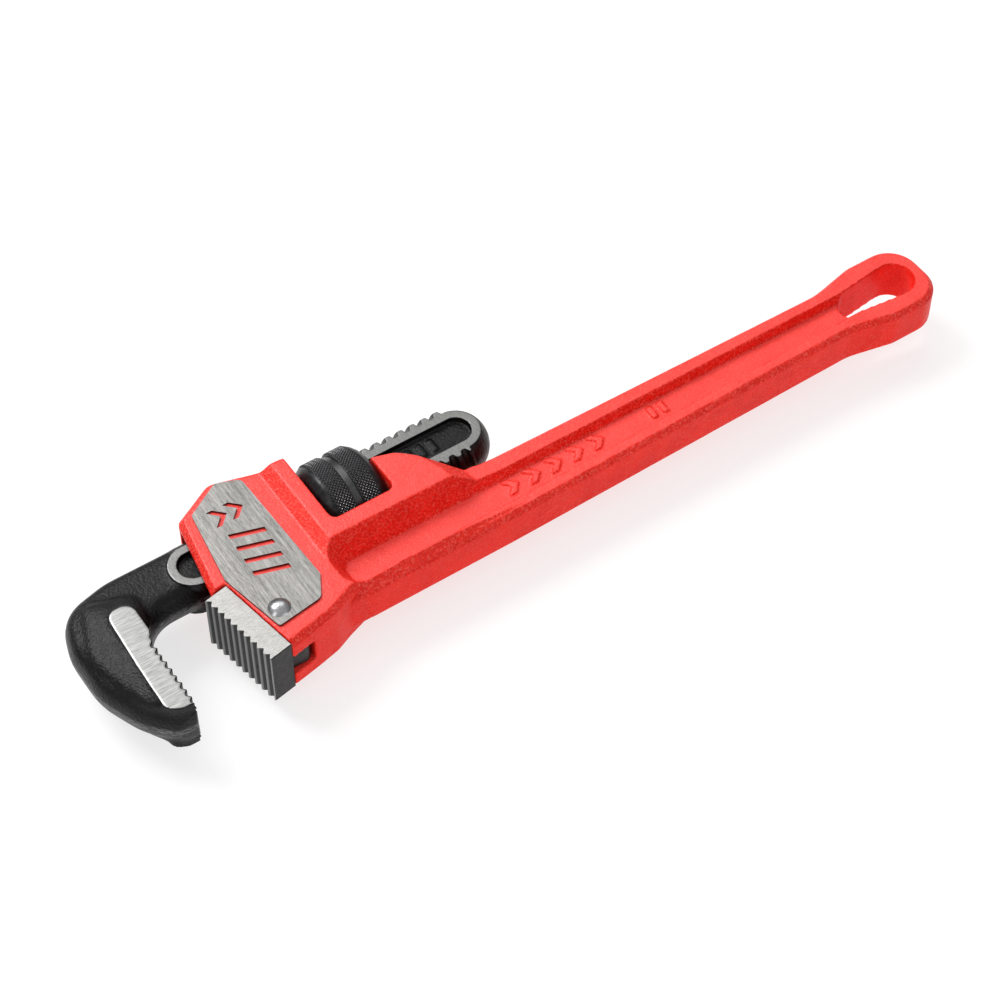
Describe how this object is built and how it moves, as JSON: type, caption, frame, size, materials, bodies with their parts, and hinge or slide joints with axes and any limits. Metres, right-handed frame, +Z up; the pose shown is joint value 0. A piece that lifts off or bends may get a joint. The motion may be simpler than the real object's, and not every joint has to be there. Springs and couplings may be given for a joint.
{
  "type": "pipe wrench",
  "caption": "Adjustable pipe wrench with a toothed sliding hook jaw, knurled adjusting nut, replaceable heel jaw and a long channelled handle with a hanging eye.",
  "frame": {"origin": "under the middle of the whole wrench, on the surface it lies on", "axes": "+X along the handle from the jaws to the tail, +Y from the handle towards the adjusting nut, +Z up, square to the wrench's mid-plane"},
  "size_m": [0.3246, 0.0728, 0.0344],
  "materials": {
    "red_paint": "glossy red paint over rough cast iron",
    "black_forging": "satin black forged steel with ground edges",
    "black_oxide": "black oxide with a ground top",
    "black_nut": "black oxide, knurled",
    "brushed_plate": "brushed",
    "polished_pin": "polished",
    "spring_steel": "tempered"
  },
  "bodies": {
    "frame": {"handle_housing": "red_paint", "heel_jaw": "black_oxide", "heel_jaw_pin": "polished_pin", "badge_plate_top": "brushed_plate", "badge_plate_bottom": "brushed_plate", "coil_spring": "spring_steel"},
    "carriage": {"flat_spring": "spring_steel"},
    "hook": {"hook_jaw": "black_forging"},
    "nut": {"adjusting_nut": "black_nut"}
  },
  "joints": [
    {"name": "jaw_rock", "type": "hinge", "parent": "frame", "child": "carriage", "pos_m": [-0.0577, 0.013, 0.0172], "axis": [0, 0, 1], "range_deg": [0, 1], "stiffness_Nm_per_rad": 10, "springref_deg": -1.72, "deforming": ["coil_spring"]},
    {"name": "nut_spin", "type": "hinge", "parent": "carriage", "child": "nut", "pos_m": [-0.0577, 0.013, 0.0172], "axis": [1, 0, 0], "range_deg": [-1441, 2521]},
    {"name": "jaw_slide", "type": "slide", "parent": "carriage", "child": "hook", "axis": [1, 0, 0], "range_m": [-0.0329, 0.0188]}
  ],
  "couplings": [
    {"joint": "nut_spin", "follows": "jaw_slide", "rad_per_m": -1336.8}
  ]
}
